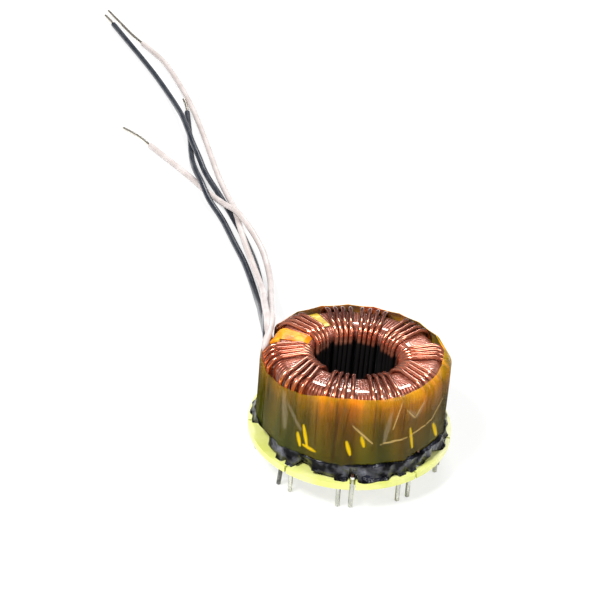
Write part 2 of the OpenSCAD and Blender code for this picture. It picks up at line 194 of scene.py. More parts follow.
def bore_group():
    """A shader group: a mask of the depth of the bore that is painted near black as shade, ragged at its edge."""
    group = bpy.data.node_groups.new("painted_bore_shade", "ShaderNodeTree")
    for name, value in [("Top", 0.0245), ("Full", 0.0225), ("Radius", 0.0118), ("Raggedness", 0.0012)]:
        group.interface.new_socket(name, in_out="INPUT", socket_type="NodeSocketFloat").default_value = value
    group.interface.new_socket("Mask", in_out="OUTPUT", socket_type="NodeSocketFloat")
    n, link = group.nodes, group.links.new
    given, out = n.new("NodeGroupInput"), n.new("NodeGroupOutput")
    place, parts = n.new("ShaderNodeTexCoord"), n.new("ShaderNodeSeparateXYZ")
    link(place.outputs["Object"], parts.inputs[0])
    ragged, level = n.new("ShaderNodeTexNoise"), n.new("ShaderNodeMath")
    ragged.inputs["Scale"].default_value = 420.0
    link(place.outputs["Object"], ragged.inputs["Vector"])
    level.operation = "MULTIPLY_ADD"
    link(ragged.outputs["Fac"], level.inputs[0])
    link(given.outputs["Raggedness"], level.inputs[1])
    link(parts.outputs["Z"], level.inputs[2])
    deep, within, both = n.new("ShaderNodeMapRange"), n.new("ShaderNodeMapRange"), n.new("ShaderNodeMath")
    deep.interpolation_type = "SMOOTHSTEP"
    link(level.outputs[0], deep.inputs["Value"])
    link(given.outputs["Top"], deep.inputs["From Min"])
    link(given.outputs["Full"], deep.inputs["From Max"])
    link(distance_from_axis(n, link, parts), within.inputs["Value"])
    link(given.outputs["Radius"], within.inputs["From Max"])
    within.inputs["From Min"].default_value = 0.0128
    both.operation = "MULTIPLY"
    link(deep.outputs[0], both.inputs[0])
    link(within.outputs[0], both.inputs[1])
    link(both.outputs[0], out.inputs["Mask"])
    return group


painted_bore_shade = bore_group()


def amber_group():
    """A shader group: a mask of what lies under the film band, and how high up it is there."""
    group = bpy.data.node_groups.new("under_the_band", "ShaderNodeTree")
    for name, value in [("Top", 0.0266), ("Full", 0.0252), ("Radius", 0.0196), ("Bottom", 0.010)]:
        group.interface.new_socket(name, in_out="INPUT", socket_type="NodeSocketFloat").default_value = value
    for name in ("Mask", "Height"):
        group.interface.new_socket(name, in_out="OUTPUT", socket_type="NodeSocketFloat")
    n, link = group.nodes, group.links.new
    given, out = n.new("NodeGroupInput"), n.new("NodeGroupOutput")
    place, parts = n.new("ShaderNodeTexCoord"), n.new("ShaderNodeSeparateXYZ")
    upright = n.new("ShaderNodeVectorRotate")
    upright.rotation_type, upright.invert = "EULER_XYZ", True
    upright.inputs["Center"].default_value = (0, 0, lean_height * mm)
    upright.inputs["Rotation"].default_value = (lean_back, lean_side, 0)
    link(place.outputs["Object"], upright.inputs["Vector"])
    link(upright.outputs[0], parts.inputs[0])
    below, outside = n.new("ShaderNodeMapRange"), n.new("ShaderNodeMapRange")
    both, height = n.new("ShaderNodeMath"), n.new("ShaderNodeMapRange")
    link(parts.outputs["Z"], below.inputs["Value"])
    link(given.outputs["Top"], below.inputs["From Min"])
    link(given.outputs["Full"], below.inputs["From Max"])
    link(distance_from_axis(n, link, parts), outside.inputs["Value"])
    outside.inputs["From Min"].default_value = 0.0188
    link(given.outputs["Radius"], outside.inputs["From Max"])
    both.operation = "MULTIPLY"
    link(below.outputs[0], both.inputs[0])
    link(outside.outputs[0], both.inputs[1])
    link(parts.outputs["Z"], height.inputs["Value"])
    link(given.outputs["Bottom"], height.inputs["From Min"])
    link(given.outputs["Top"], height.inputs["From Max"])
    link(both.outputs[0], out.inputs["Mask"])
    link(height.outputs[0], out.inputs["Height"])
    return group


under_band = amber_group()


def amber_below(finish, colour):
    """A colour as it shows where the amber band lies over it: deeper and browner lower down."""
    mask = finish.nodes.new("ShaderNodeGroup")
    mask.node_tree = under_band
    tint = finish.ramp(
        mask.outputs["Height"], (0.0, (0.10, 0.07, 0.015)), (0.45, (0.26, 0.15, 0.03)),
        (0.8, (0.85, 0.42, 0.05)), (1.0, (1.2, 0.8, 0.15)))
    return finish.mix(mask.outputs["Mask"], colour, finish.mix(1.0, colour, tint, "MULTIPLY"))


def blacken_bore(finish, colour, roughness):
    """A finish that goes near black, and a little duller, inside the bore: painted shade deep in the hole."""
    duller = 0.25
    mask = finish.nodes.new("ShaderNodeGroup")
    mask.node_tree = painted_bore_shade
    # painted shade: the colour goes near black deep in the bore, where the hole lies in shadow
    finish.give("Base Color", finish.mix(mask.outputs["Mask"], amber_below(finish, colour), (0.006, 0.006, 0.007)))
    metal = finish.shader.inputs["Metallic"].default_value
    finish.give("Metallic", finish.between(mask.outputs["Mask"], metal, 0.0, 0.0, 1.0))
    rough = finish.nodes.new("ShaderNodeMath")
    rough.operation = "MULTIPLY_ADD"
    rough.inputs[1].default_value = duller
    finish.link(mask.outputs["Mask"], rough.inputs[0])
    finish.link(roughness, rough.inputs[2])
    finish.give("Roughness", rough.outputs[0])


fine_enamel = Finish("fine_copper", (0.66, 0.24, 0.13), 0.3, Metallic=0.55, Coat_Weight=0.3)
lines = fine_enamel.uneven(240, seed=2.0, strength=0.1)
blacken_bore(fine_enamel, fine_enamel.ramp(
    lines.outputs["Mask"], (0.3, (0.34, 0.08, 0.04)), (0.5, (0.50, 0.16, 0.10)), (0.7, (0.66, 0.31, 0.23))),
    fine_enamel.between(lines.outputs["Fine mask"], 0.22, 0.38))
dress("primary_winding", fine_enamel)
under_film = Finish("film_under", (0.62, 0.25, 0.08), 0.2)
soft = under_film.uneven(500, seed=3.0)
under_film.mottle(soft, (0.3, (0.36, 0.10, 0.04)), (0.7, (0.55, 0.19, 0.08)))
dress("primary_film", under_film)

# The auxiliary winding: one close layer of fine wire.
# Each turn goes straight round the section of the ring, so the turns touch in the bore and
# spread out like a fan on the outside.
wrap_t, fine_wire_d, film_t, bore_build = 0.3, 0.55, 0.1, 0.25
fine_turn_count, fine_core_d = 138, 0.52
lean = (Matrix.Translation((0, 0, lean_height * mm)) @ Matrix.Rotation(lean_side, 4, "Y")
        @ Matrix.Rotation(lean_back, 4, "X") @ Matrix.Translation((0, 0, -lean_height * mm)))


def arc(middle_r, middle_z, radius, start, end, steps):
    """Points (r, z) of an arc in a plane through the ring's axis, between two angles in degrees."""
    angles = [math.radians(start + (end - start) * i / steps) for i in range(steps + 1)]
    return [(middle_r + radius * math.cos(a), middle_z + radius * math.sin(a)) for a in angles]


def round_the_section(out, bore, steps=6):
    """Outline of the ring's section with a layer of that depth outside and in the bore, in mm."""
    c = core_edge + out
    r0, r1 = core_bore_r - bore, core_outer_r + out
    z0, z1 = core_bottom - out, core_bottom + core_height + out
    return (arc(r1 - c, z1 - c, c, 0, 90, steps) + arc(r0 + c, z1 - c, c, 90, 180, steps)
            + arc(r0 + c, z0 + c, c, 180, 270, steps) + arc(r1 - c, z0 + c, c, 270, 360, steps))


def placed(name, data):
    """A new object in the scene."""
    made = bpy.data.objects.new(name, data)
    bpy.context.scene.collection.objects.link(made)
    return made


def line_object(name, path, closed=False):
    """An object of bare edges along a path in metres, for a tree to sweep a wire along."""
    mesh = bpy.data.meshes.new(name)
    edges = [(i, i + 1) for i in range(len(path) - 1)]
    if closed:
        edges.append((len(path) - 1, 0))
    mesh.from_pydata([tuple(p) for p in path], edges, [])
    return placed(name, mesh)


def new_tree(name, inputs):
    """An empty geometry tree with named inputs, and short ways to add and join its nodes."""
    tree = bpy.data.node_groups.new(name, "GeometryNodeTree")
    tree.interface.new_socket("Geometry", in_out="INPUT", socket_type="NodeSocketGeometry")
    tree.interface.new_socket("Geometry", in_out="OUTPUT", socket_type="NodeSocketGeometry")
    for socket, kind in inputs:
        tree.interface.new_socket(socket, in_out="INPUT", socket_type="NodeSocket" + kind)
    given, result = tree.nodes.new("NodeGroupInput"), tree.nodes.new("NodeGroupOutput")

    def add(kind, operation=None, **inputs):
        node = tree.nodes.new(kind)
        if operation:
            node.operation = operation
        for socket, value in inputs.items():
            if socket[0] == "i" and socket[1:].isdigit():
                target = node.inputs[int(socket[1:])]
            else:
                target = next(s for s in node.inputs if s.identifier == socket.replace("_", " "))
            if isinstance(value, bpy.types.NodeSocket):
                tree.links.new(value, target)
            else:
                target.default_value = value
        return node

    def end(geometry):
        real = add("GeometryNodeRealizeInstances", Geometry=geometry)
        final = add("GeometryNodeSetMaterial", Geometry=real.outputs[0], Material=given.outputs["Finish"])
        tree.links.new(final.outputs[0], result.inputs[0])

    return tree, given.outputs, add, end


def grown(base, tree, values):
    """The plain mesh that a tree makes of an object, with the tree's inputs set by name."""
    modifier = base.modifiers.new("making", "NODES")
    modifier.node_group = tree
    for item in tree.interface.items_tree:
        if item.item_type == "SOCKET" and item.in_out == "INPUT" and item.name in values:
            modifier[item.identifier] = values[item.name]
    bpy.context.view_layer.update()
    seen = base.evaluated_get(bpy.context.evaluated_depsgraph_get())
    mesh = bpy.data.meshes.new_from_object(seen)
    base.modifiers.clear()
    base.data = mesh
    return base


fan, given, add, end = new_tree("turns_round_a_ring", [
    ("Turns", "Int"), ("Wire diameter", "Float"), ("Sides", "Int"), ("Unevenness", "Float"),
    ("Seed", "Int"), ("Finish", "Material")])
loop = add("GeometryNodeMeshToCurve", Mesh=given["Geometry"])
half = add("ShaderNodeMath", "MULTIPLY", i0=given["Wire diameter"], i1=0.5)
wire_end = add("GeometryNodeCurvePrimitiveCircle", Resolution=given["Sides"], Radius=half.outputs[0])
one_turn = add("GeometryNodeCurveToMesh", Curve=loop.outputs[0], Profile_Curve=wire_end.outputs[0])
smooth = add("GeometryNodeSetShadeSmooth", Geometry=one_turn.outputs[0])
spots = add("GeometryNodePoints", Count=given["Turns"])
index = add("GeometryNodeInputIndex")
wander = add("FunctionNodeRandomValue", Seed=given["Seed"])
wander.data_type = "FLOAT"
for socket in wander.inputs:
    if socket.identifier == "Min_001":
        socket.default_value = -1.0
    if socket.identifier == "Max_001":
        socket.default_value = 1.0
moved = next(s for s in wander.outputs if s.identifier == "Value_001")
off = add("ShaderNodeMath", "MULTIPLY", i0=moved, i1=given["Unevenness"])
place = add("ShaderNodeMath", "ADD", i0=index.outputs[0], i1=off.outputs[0])
share = add("ShaderNodeMath", "DIVIDE", i0=place.outputs[0], i1=given["Turns"])
angle = add("ShaderNodeMath", "MULTIPLY", i0=share.outputs[0], i1=2 * math.pi)
turned = add("ShaderNodeCombineXYZ", Z=angle.outputs[0])
copies = add("GeometryNodeInstanceOnPoints", Points=spots.outputs[0], Instance=smooth.outputs[0],
             Rotation=turned.outputs[0])
end(copies.outputs[0])

fine_depth = wrap_t + fine_wire_d + film_t + fine_wire_d / 2
fine_winding = line_object("auxiliary_turns", [
    (r * mm, 0, z * mm) for r, z in round_the_section(fine_depth, fine_depth + bore_build)], closed=True)
grown(fine_winding, fan, {"Turns": fine_turn_count, "Wire diameter": fine_core_d * mm, "Sides": 8,
                          "Unevenness": 0.12, "Seed": 4, "Finish": fine_enamel.material})
fine_winding.data.transform(lean)
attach(fine_winding, "root")
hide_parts("auxiliary_winding")

# The clear film over the fine winding.
# A glossy clear film pulled tight over the turns, so that they shine as one smooth skin. Only its
# outer face shines: what isn't shine lets the turns show through.
clear = Finish("clear_film", (1.0, 0.90, 0.84), 0.09, Metallic=1.0)
creased = clear.uneven(260, seed=5.0, strength=0.45, depth=0.0003)
shine, veil = clear.nodes.new("ShaderNodeFresnel"), clear.nodes.new("ShaderNodeMath")
shine.inputs["IOR"].default_value = 1.75
veil.operation, veil.use_clamp = "MULTIPLY_ADD", True
shine_gain = 1.1
veil.inputs[1].default_value = shine_gain
clear.link(creased.outputs["Normal"], shine.inputs["Normal"])
clear.link(shine.outputs[0], veil.inputs[0])
clear.link(clear.between(creased.outputs["Fine mask"], 0.0, 0.12, 0.5, 0.75), veil.inputs[2])
inside, outer_face = clear.nodes.new("ShaderNodeNewGeometry"), clear.nodes.new("ShaderNodeMath")
outer_face.operation = "SUBTRACT"
outer_face.inputs[0].default_value, outer_face.use_clamp = 1.0, True
clear.link(inside.outputs["Backfacing"], outer_face.inputs[1])
skin_only = clear.nodes.new("ShaderNodeMath")
skin_only.operation = "MULTIPLY"
clear.link(veil.outputs[0], skin_only.inputs[0])
clear.link(outer_face.outputs[0], skin_only.inputs[1])
clear.give("Alpha", skin_only.outputs[0])
dress("clear_film", clear)

# The tapes over the clear film at the rear left.
# Orange-yellow tape covers the place where the leads come out, an olive-yellow strip fills the
# gap behind it, and the end of the orange tape stands up in a small folded tab.
orange = Finish("orange_tape", (0.85, 0.33, 0.0), 0.25, Specular_IOR_Level=0.35)
patchy = orange.uneven(420, stretch=(1, 1, 0.6), seed=6.0, strength=0.5, depth=0.0003)
orange.mottle(patchy, (0.3, (0.66, 0.15, 0.0)), (0.5, (0.82, 0.27, 0.0)), (0.7, (0.92, 0.46, 0.03)))
dress("leadout_tape", orange)
dress("lead_tab", orange)
olive = Finish("olive_tape", (0.5, 0.36, 0.02), 0.25, Specular_IOR_Level=0.35)
patchy = olive.uneven(420, seed=7.0, strength=0.5, depth=0.0003)
olive.mottle(patchy, (0.3, (0.26, 0.17, 0.01)), (0.55, (0.52, 0.36, 0.02)), (0.7, (0.80, 0.60, 0.08)))
dress("side_tape", olive)

# The ten output windings.
# Each is one strand of heavy enamelled copper wire with four turns, pulled tight over the inner
# windings. Its two tails run in the adhesive and go onto two pins.
wire_d, outer_pitch, bore_pitch, turn_count = 1.0, 5.7, 6.7, 4
# middle angle outside, middle angle in the bore, angle of its two pins
windings = [
    (351, 349, 360.6), (22, 25, 38.5), (57, 62, 78), (97, 92, 114), (136, 133, 146),
    (170, 167.5, 178), (195.5, 199, 210), (233, 234, 241), (284, 281, 273), (318, 311, 321.1)]
bend_r, run_outer, run_bore, run_bottom, run_top = 3.15, 20.55, 9.6, 10.4, 27.2
bend_outer, bend_bore = run_outer - bend_r, run_bore + bend_r
pin_r, pin_half_angle, pin_top, tail_bend, tail_rise, tail_z = 20.8, 3.9, 8.5, 0.8, 0.3, 9.6
# the angle from the last turn to its tail, and how far outside the bottom bend a long tail runs
tail_lag, tail_inset = 3.7, 0.95


def at(r, degrees, z):
    """A point in metres at a radius and height in mm, at an angle from the front towards the right."""
    a = math.radians(degrees)
    return Vector((r * math.sin(a), -r * math.cos(a), z)) * mm


def foot(degrees, z):
    """A point on the outside of the leaning ring at a height over the pin tips."""
    p = lean @ at(run_outer, degrees, lean_height)
    return Vector((p.x, p.y, z * mm))


def bend(r, z, start, degrees, steps=8):
    """A quarter turn of a strand round a corner of the ring's section."""
    return [lean @ at(p[0], degrees, p[1]) for p in arc(r, z, bend_r, start, start + 90, steps)]


def winding_path(outer_mid, bore_mid, pins):
    """A strand from its first pin, four times round the section and back down to its second pin."""
    def outer(i):
        return outer_mid + (i - 1.5) * outer_pitch

    def bore(i):
        return bore_mid + (i - 1.5) * bore_pitch

    a0, a1 = pins - pin_half_angle, outer(0)
    side = 1 if a1 > a0 else -1
    turn_in = min(math.degrees(tail_bend / pin_r), abs(a1 - a0) / 3)
    path = [at(pin_r, a0, pin_top), at(pin_r, a0, pin_top + tail_rise),
            at(pin_r, a0 + side * turn_in * 0.3, pin_top + tail_rise + tail_bend * 0.7),
            at(pin_r, a0 + side * turn_in, tail_z), foot(a1 - side * turn_in, tail_z),
            foot(a1 - side * turn_in * 0.3, tail_z + tail_bend * 0.3), foot(a1, tail_z + tail_bend)]
    for i in range(turn_count):
        if i:
            path += bend(bend_outer, run_bottom + bend_r, 270, outer(i))
        path += bend(bend_outer, run_top - bend_r, 0, outer(i))
        path += bend(bend_bore, run_top - bend_r, 90, bore(i))
        path += bend(bend_bore, run_bottom + bend_r, 180, bore(i))
    a1 = pins + pin_half_angle
    a0 = max(a1, outer(turn_count - 1) + tail_lag)
    path.append(lean @ at(bend_outer, a0, run_bottom))
    if a0 - a1 >= tail_lag:
        inner = bend_outer + tail_inset
        path += [at(inner, a0 - 1.5, tail_z + 0.1), at(inner, max(a0 - 4, a1 + 3), tail_z),
                 at(inner, a1 + 2.5, tail_z), at(inner + 0.6, a1 + 0.6, tail_z)]
    path += [at(r, a1, z) for r, z in arc(pin_r - tail_bend, tail_z - tail_bend, tail_bend, 90, 0, 3)]
    return path + [at(pin_r, a1, pin_top)]


strand, given, add, end = new_tree("wire_along_a_path", [
    ("Wire diameter", "Float"), ("Sides", "Int"), ("Spacing", "Float"), ("Unevenness", "Float"),
    ("Seed", "Float"), ("Finish", "Material")])
line = add("GeometryNodeMeshToCurve", Mesh=given["Geometry"])
even = add("GeometryNodeResampleCurve", Curve=line.outputs[0])
even.mode = "LENGTH"
even.id_data.links.new(given["Spacing"], next(s for s in even.inputs if s.identifier == "Length"))
where = add("GeometryNodeInputPosition")
waves_per_metre = 70.0
wobble = add("ShaderNodeTexNoise", Vector=where.outputs[0], W=given["Seed"], Scale=waves_per_metre, Detail=0.0)
wobble.noise_dimensions = "4D"
centred = add("ShaderNodeVectorMath", "SUBTRACT", i0=wobble.outputs["Color"], i1=(0.5, 0.5, 0.5))
flat = add("ShaderNodeVectorMath", "MULTIPLY", i0=where.outputs[0], i1=(1, 1, 0))
reach = add("ShaderNodeVectorMath", "LENGTH", i0=flat.outputs[0])
# the strands lie close together in the bore, so they wander freely only further out
freedom = add("ShaderNodeMapRange", Value=reach.outputs["Value"])
for socket, value in [("From Min", 0.0105), ("From Max", 0.0175), ("To Min", 0.1), ("To Max", 1.0)]:
    freedom.inputs[socket].default_value = value
much = add("ShaderNodeMath", "MULTIPLY", i0=freedom.outputs[0], i1=given["Unevenness"])
push = add("ShaderNodeVectorMath", "SCALE", i0=centred.outputs[0], Scale=much.outputs[0])
shifted = add("GeometryNodeSetPosition", Geometry=even.outputs[0], Offset=push.outputs[0])
half = add("ShaderNodeMath", "MULTIPLY", i0=given["Wire diameter"], i1=0.5)
wire_end = add("GeometryNodeCurvePrimitiveCircle", Resolution=given["Sides"], Radius=half.outputs[0])
tube = add("GeometryNodeCurveToMesh", Curve=shifted.outputs[0], Profile_Curve=wire_end.outputs[0], Fill_Caps=True)
smooth = add("GeometryNodeSetShadeSmooth", Geometry=tube.outputs[0])
end(smooth.outputs[0])

enamel = Finish("heavy_copper", (0.78, 0.30, 0.18), 0.24, Metallic=0.75, Coat_Weight=0.7, Coat_Roughness=0.05,
                Coat_Tint=(1.0, 0.88, 0.78, 1))
drawn = enamel.uneven(120, seed=8.0, strength=0.03)
tone = enamel.ramp(
    drawn.outputs["Mask"], (0.32, (0.60, 0.16, 0.085)), (0.5, (0.76, 0.28, 0.17)), (0.68, (0.86, 0.42, 0.31)))
# painted shade: the strands' sides darken to near black where they turn away from the view, so the gaps between
# strands look shadowed
side = enamel.nodes.new("ShaderNodeLayerWeight")
side.inputs["Blend"].default_value = 0.5
flank_shade = enamel.between(side.outputs["Facing"], 0.0, 0.96, 0.2, 0.6)
tone = enamel.mix(flank_shade, tone, (0.10, 0.012, 0.008))
blacken_bore(enamel, tone, enamel.between(drawn.outputs["Mask"], 0.15, 0.21))
strand_step, strand_wander = 0.55, 0.36
for number, row in enumerate(windings, 1):
    wound = line_object(f"output_strand_{number}", winding_path(*row))
    grown(wound, strand, {"Wire diameter": wire_d * mm, "Sides": 14, "Spacing": strand_step * mm,
                          "Unevenness": strand_wander * mm, "Seed": number * 3.7, "Finish": enamel.material})
    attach(wound, "root")
    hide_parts(f"output_winding_{number}")

# The base disc.
# A round cut from pale yellow-green glass-fibre board, a little translucent, with holes for the
# pins and thin slots sawn in from its rim.
board = Finish("pale_board", (0.80, 0.84, 0.42), 0.35, Specular_IOR_Level=0.4)
cloth = board.uneven(160, seed=9.0, strength=0.12, depth=0.00006)
board.mottle(cloth, (0.3, (0.60, 0.64, 0.12)), (0.5, (0.69, 0.71, 0.22)), (0.7, (0.76, 0.76, 0.34)))
dress("base_disc", board)

# The pins and their solder.
# Round tinned wire, straight and bright, one of them bent and smeared with adhesive. A collar of
# solder holds the wire's tail on each.
tin = Finish("tinned_metal", (0.62, 0.62, 0.60), 0.28, Metallic=1.0)
dull = tin.uneven(700, stretch=(1, 1, 0.3), seed=10.0, strength=0.3)
tin.mottle(dull, (0.3, (0.36, 0.37, 0.35)), (0.6, (0.66, 0.66, 0.62)), (0.75, (0.8, 0.8, 0.76)))
tin.give("Roughness", tin.between(dull.outputs["Fine mask"], 0.2, 0.45))
smeared = Finish("smeared_pin", (0.05, 0.055, 0.06), 0.3, Metallic=0.3)
patchy = smeared.uneven(900, seed=11.0, strength=0.4)
smeared.mottle(patchy, (0.35, (0.02, 0.022, 0.025)), (0.7, (0.2, 0.2, 0.19)))
bent_pin = 19
for number in range(1, 2 * len(windings) + 1):
    dress(f"pin_{number}", smeared if number == bent_pin else tin)
solder = Finish("solder", (0.72, 0.72, 0.72), 0.2, Metallic=1.0)
lumps = solder.uneven(800, seed=12.0, strength=0.5)
solder.mottle(lumps, (0.3, (0.5, 0.5, 0.5)), (0.7, (0.85, 0.85, 0.85)))
dress("solder_joints", solder)

# The adhesive and black film that hold the ring on the disc.
# A glossy black skin, crumpled where it was pressed in between the disc and the windings. It
# covers the wires' tails, and its edge on the disc is ragged.
band_r, band_bottom = 21.25, 10.4
# angle and radius of its edge on the disc
bed_edge = [
    (-91, 22.4), (-81, 19.8), (-62, 18.6), (-52, 19.4), (-47, 20.6), (-40, 20.3), (-37, 19.7), (-30, 18.8),
    (-26, 18.9), (-17, 20.7), (-10, 20.9), (-6, 21.0), (-1, 22.0), (1.4, 21.7), (2.4, 19.8), (6.6, 19.8),
    (7.8, 22.1), (11, 22.5), (19, 22.1), (24, 22.2), (30, 21.0), (44, 21.1), (51, 21.4), (58, 20.9),
    (64, 20.6), (71, 22.3), (87, 21.4), (105, 22.3), (120, 21.6), (140, 22.4), (160, 21.7), (180, 22.3),
    (200, 21.6), (220, 22.4), (240, 21.7), (255, 22.3)]


def along(table, degrees):
    """The value of a table of (angle, value) at an angle, going round."""
    x = (degrees - table[0][0]) % 360 + table[0][0]
    for (a, u), (b, v) in zip(table, table[1:] + [(table[0][0] + 360, table[0][1])]):
        if a <= x <= b:
            t = (x - a) / (b - a)
            t = t * t * (3 - 2 * t)
            return u + (v - u) * t


def skin(name, rows, columns, point, finish, thickness, paint=()):
    """A thin closed sheet over a grid that goes once round, with values painted on its points."""
    mesh = bpy.data.meshes.new(name)
    grid = bmesh.new()
    layers = [grid.verts.layers.float.new(p) for p in paint]
    corners = []
    for j in range(rows + 1):
        line = []
        for i in range(columns):
            where, *values = point(360 * i / columns, j / rows)
            corner = grid.verts.new(where)
            for layer, value in zip(layers, values):
                corner[layer] = value
            line.append(corner)
        corners.append(line)
    for j in range(rows):
        for i in range(columns):
            k = (i + 1) % columns
            face = grid.faces.new((corners[j][i], corners[j][k], corners[j + 1][k], corners[j + 1][i]))
            face.smooth = True
    grid.to_mesh(mesh)
    grid.free()
    made = placed(name, mesh)
    mesh.materials.append(finish.material)
    wall = made.modifiers.new("thickness", "SOLIDIFY")
    wall.thickness, wall.offset = thickness * mm, -1.0
    return made


def folds(seed, count, shortest, longest):
    """Directions and sizes of the folds of crumpled film, drawn once."""
    draw = random.Random(seed)
    made = []
    for _ in range(count):
        way = Vector((draw.uniform(-1, 1), draw.uniform(-1, 1), draw.uniform(-1, 1))).normalized()
        made.append((way, draw.uniform(shortest, longest), draw.random()))
    return made


def crumple(p, made):
    """Flat facets with sharp folds between them: -1 to 1 over a point in mm."""
    p = Vector(p)
    return 2 * sum(abs((p.dot(way) / size + start) % 1.0 - 0.5) * 2 for way, size, start in made) / len(made) - 1


bed_folds = folds(5, 5, 2.2, 5.5)
disc_top, bed_r = 8.0, 21.5
# the second pin of the first winding stands clear of the adhesive, and its joint shows
bare_joint = windings[0][2] + pin_half_angle
pin_angles = [a for row in windings for a in (row[2] - pin_half_angle, row[2] + pin_half_angle)
              if a != bare_joint]
lobe_r, lobe_half, lobe_fall = 21.9, 2.2, 0.9
open_sectors, open_lip = [(281, 306), (329.5, 340), (2.2, 6.8)], 0.9
bed_swell, bed_crumple, bed_lift = 0.15, 0.6, 0.15


def bed_point(degrees, t):
    """A point of the adhesive's skin, from its foot on the disc (t = 0) to the band's edge (t = 1)."""
    near = min(abs((degrees - a + 180) % 360 - 180) for a in pin_angles)
    lobe = lobe_r - lobe_fall * max(0.0, near - lobe_half) ** 2
    foot_r = max(along(bed_edge, degrees), lobe)
    top = lean @ at(band_r + 0.05, degrees, band_bottom - 0.02)
    top_r, top_z = math.hypot(top.x, top.y) / mm, top.z / mm
    open_here = any(start < degrees < end for start, end in open_sectors)
    belly = foot_r + open_lip if open_here else bed_r
    rim = min(belly, bed_r)
    if foot_r > rim:
        low = [(foot_r + 0.1, 8.12), (rim + 0.5 * (foot_r - rim), 8.8)]
    else:
        low = [(foot_r, 8.3), (belly + 0.05, 9.0)]
    shape = [(foot_r + 0.25, disc_top), *low, (rim + 0.1, 9.5), (rim, 10.1),
             (top_r + 0.1, top_z - 0.2), (top_r - 0.5, top_z + 0.3)]
    x = t * (len(shape) - 1)
    k = min(int(x), len(shape) - 2)
    f = x - k
    r = shape[k][0] + (shape[k + 1][0] - shape[k][0]) * f
    z = shape[k][1] + (shape[k + 1][1] - shape[k][1]) * f
    a = math.radians(degrees)
    rough = crumple((r * math.sin(a), r * math.cos(a), z), bed_folds)
    held = min(1.0, t * 8) * min(1.0, (1 - t) * 5)
    return (at(r + (bed_swell + bed_crumple * rough) * held, degrees, z + bed_lift * rough * held),)


pitch = Finish("black_adhesive", (0.012, 0.013, 0.018), 0.1)
film = pitch.uneven(330, seed=13.0, strength=0.8, depth=0.0006)
# the palest, blue-grey patches in the black adhesive's colour are painted reflection; the same mask makes the film
# glossier there
pitch.mottle(film, (0.45, (0.002, 0.002, 0.003)), (0.62, (0.012, 0.014, 0.028)), (0.74, (0.14, 0.15, 0.18)))
pitch.give("Specular IOR Level", pitch.between(film.outputs["Mask"], 0.08, 0.95, 0.42, 0.62))
bed = skin("adhesive_skin", 30, 720, bed_point, pitch, 0.12)
middle = bpy.data.meshes.new("adhesive_middle")
pad = bmesh.new()
pad_r, pad_z, pad_rings, pad_columns = 17.2, 9.9, 14, 72
column_angle, columns_per_radian = 5, 11.46


def pad_point(j, i):
    """A point of the adhesive under the ring: crumpled in the bore, flat near its own edge."""
    r = pad_r * j / pad_rings
    turn = i / columns_per_radian
    rough = crumple((r * math.sin(turn), r * math.cos(turn), 3), bed_folds) if j < pad_rings - 1 else 0
    return lean @ at(r, column_angle * i, pad_z + bed_lift * rough)


tip = pad.verts.new(lean @ at(0, 0, pad_z))
rings = [[pad.verts.new(pad_point(j, i)) for i in range(pad_columns)] for j in range(1, pad_rings + 1)]
rings.append([pad.verts.new(at(pad_r, column_angle * i, disc_top)) for i in range(pad_columns)])
for i in range(pad_columns):
    k = (i + 1) % pad_columns
    pad.faces.new((tip, rings[0][i], rings[0][k]))
    for low, high in zip(rings, rings[1:]):
        pad.faces.new((low[i], high[i], high[k], low[k]))
pad.faces.new(list(reversed(rings[-1])))
bmesh.ops.recalc_face_normals(pad, faces=pad.faces)
for f in pad.faces:
    f.smooth = True
pad.to_mesh(middle)
pad.free()
middle.materials.append(pitch.material)
for piece in (bed, placed("adhesive_middle", middle)):
    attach(piece, "root")
    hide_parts("adhesive_bed")

# The film band.
# Amber film wound round the outside and folded in over the shoulder. It is stretched flat between
# the strands, creased where they lie, and the strands show dimly through it.
band_stand, band_mm_per_degree = 0.22, 0.371
notch_angle, notch_half, notch_depth = 256, 14, 3.5
shoulder_z, fold_r = run_top - bend_r, bend_r + 0.8
# angle and height of its lower edge, and angle and degrees folded in at its upper edge
band_low = [
    (-48, 10.3), (-44.8, 9.7), (-36.7, 10.3), (-30.5, 10.6), (-22.3, 10.5), (-15.6, 10.2), (-9.4, 9.9),
    (-3.5, 9.9), (5.7, 10.5), (18.2, 10.8), (31.4, 10.5), (35.2, 10.4), (38.4, 10.8), (46.5, 11.3),
    (56.5, 11.8), (67, 11.2), (80, 10.6), (100, 10.5), (130, 10.4), (160, 10.5), (190, 10.4), (220, 10.5),
    (250, 10.4), (285, 10.5)]
band_fold = [
    (-97, 30), (-86, 17), (-60, 8), (-49, 6), (-33, 15), (-14, 34), (0, 39), (17, 38), (30, 41), (42, 49),
    (57, 56), (80, 64), (100, 60), (130, 55), (160, 52), (190, 50), (220, 45), (240, 20), (243, 0),
    (249, -1), (262, -1), (262.8, 0), (262.9, 20)]
# angles at which the stretched film has its corners
band_corners = [-62, -45, -32, -18, -3, 16, 35, 55, 77, 97, 118, 137, 153, 171, 188, 206, 224, 242, 262, 280]
# marks painted in the film's colour: angle and height of both ends, and half the width. The glints and the paler
# lines along the creases are painted highlight, the dark lines along the folds painted shade, and the pale streaks
# painted reflection.
# glints: bright yellow spots painted in the film's colour, a painted highlight where light catches the film
glints = [
    (-31, 15.4, -29, 12.4, 0.55), (-27.7, 17.8, -24.5, 13.0, 0.55), (-27, 12.9, -19, 12.3, 0.5),
    (-1.2, 16.3, 1.6, 13.0, 0.55), (7.2, 17.6, 9.2, 15.2, 0.5), (37.6, 18.4, 41.2, 13.0, 0.5),
    (58, 16.6, 66, 12.2, 0.9)]
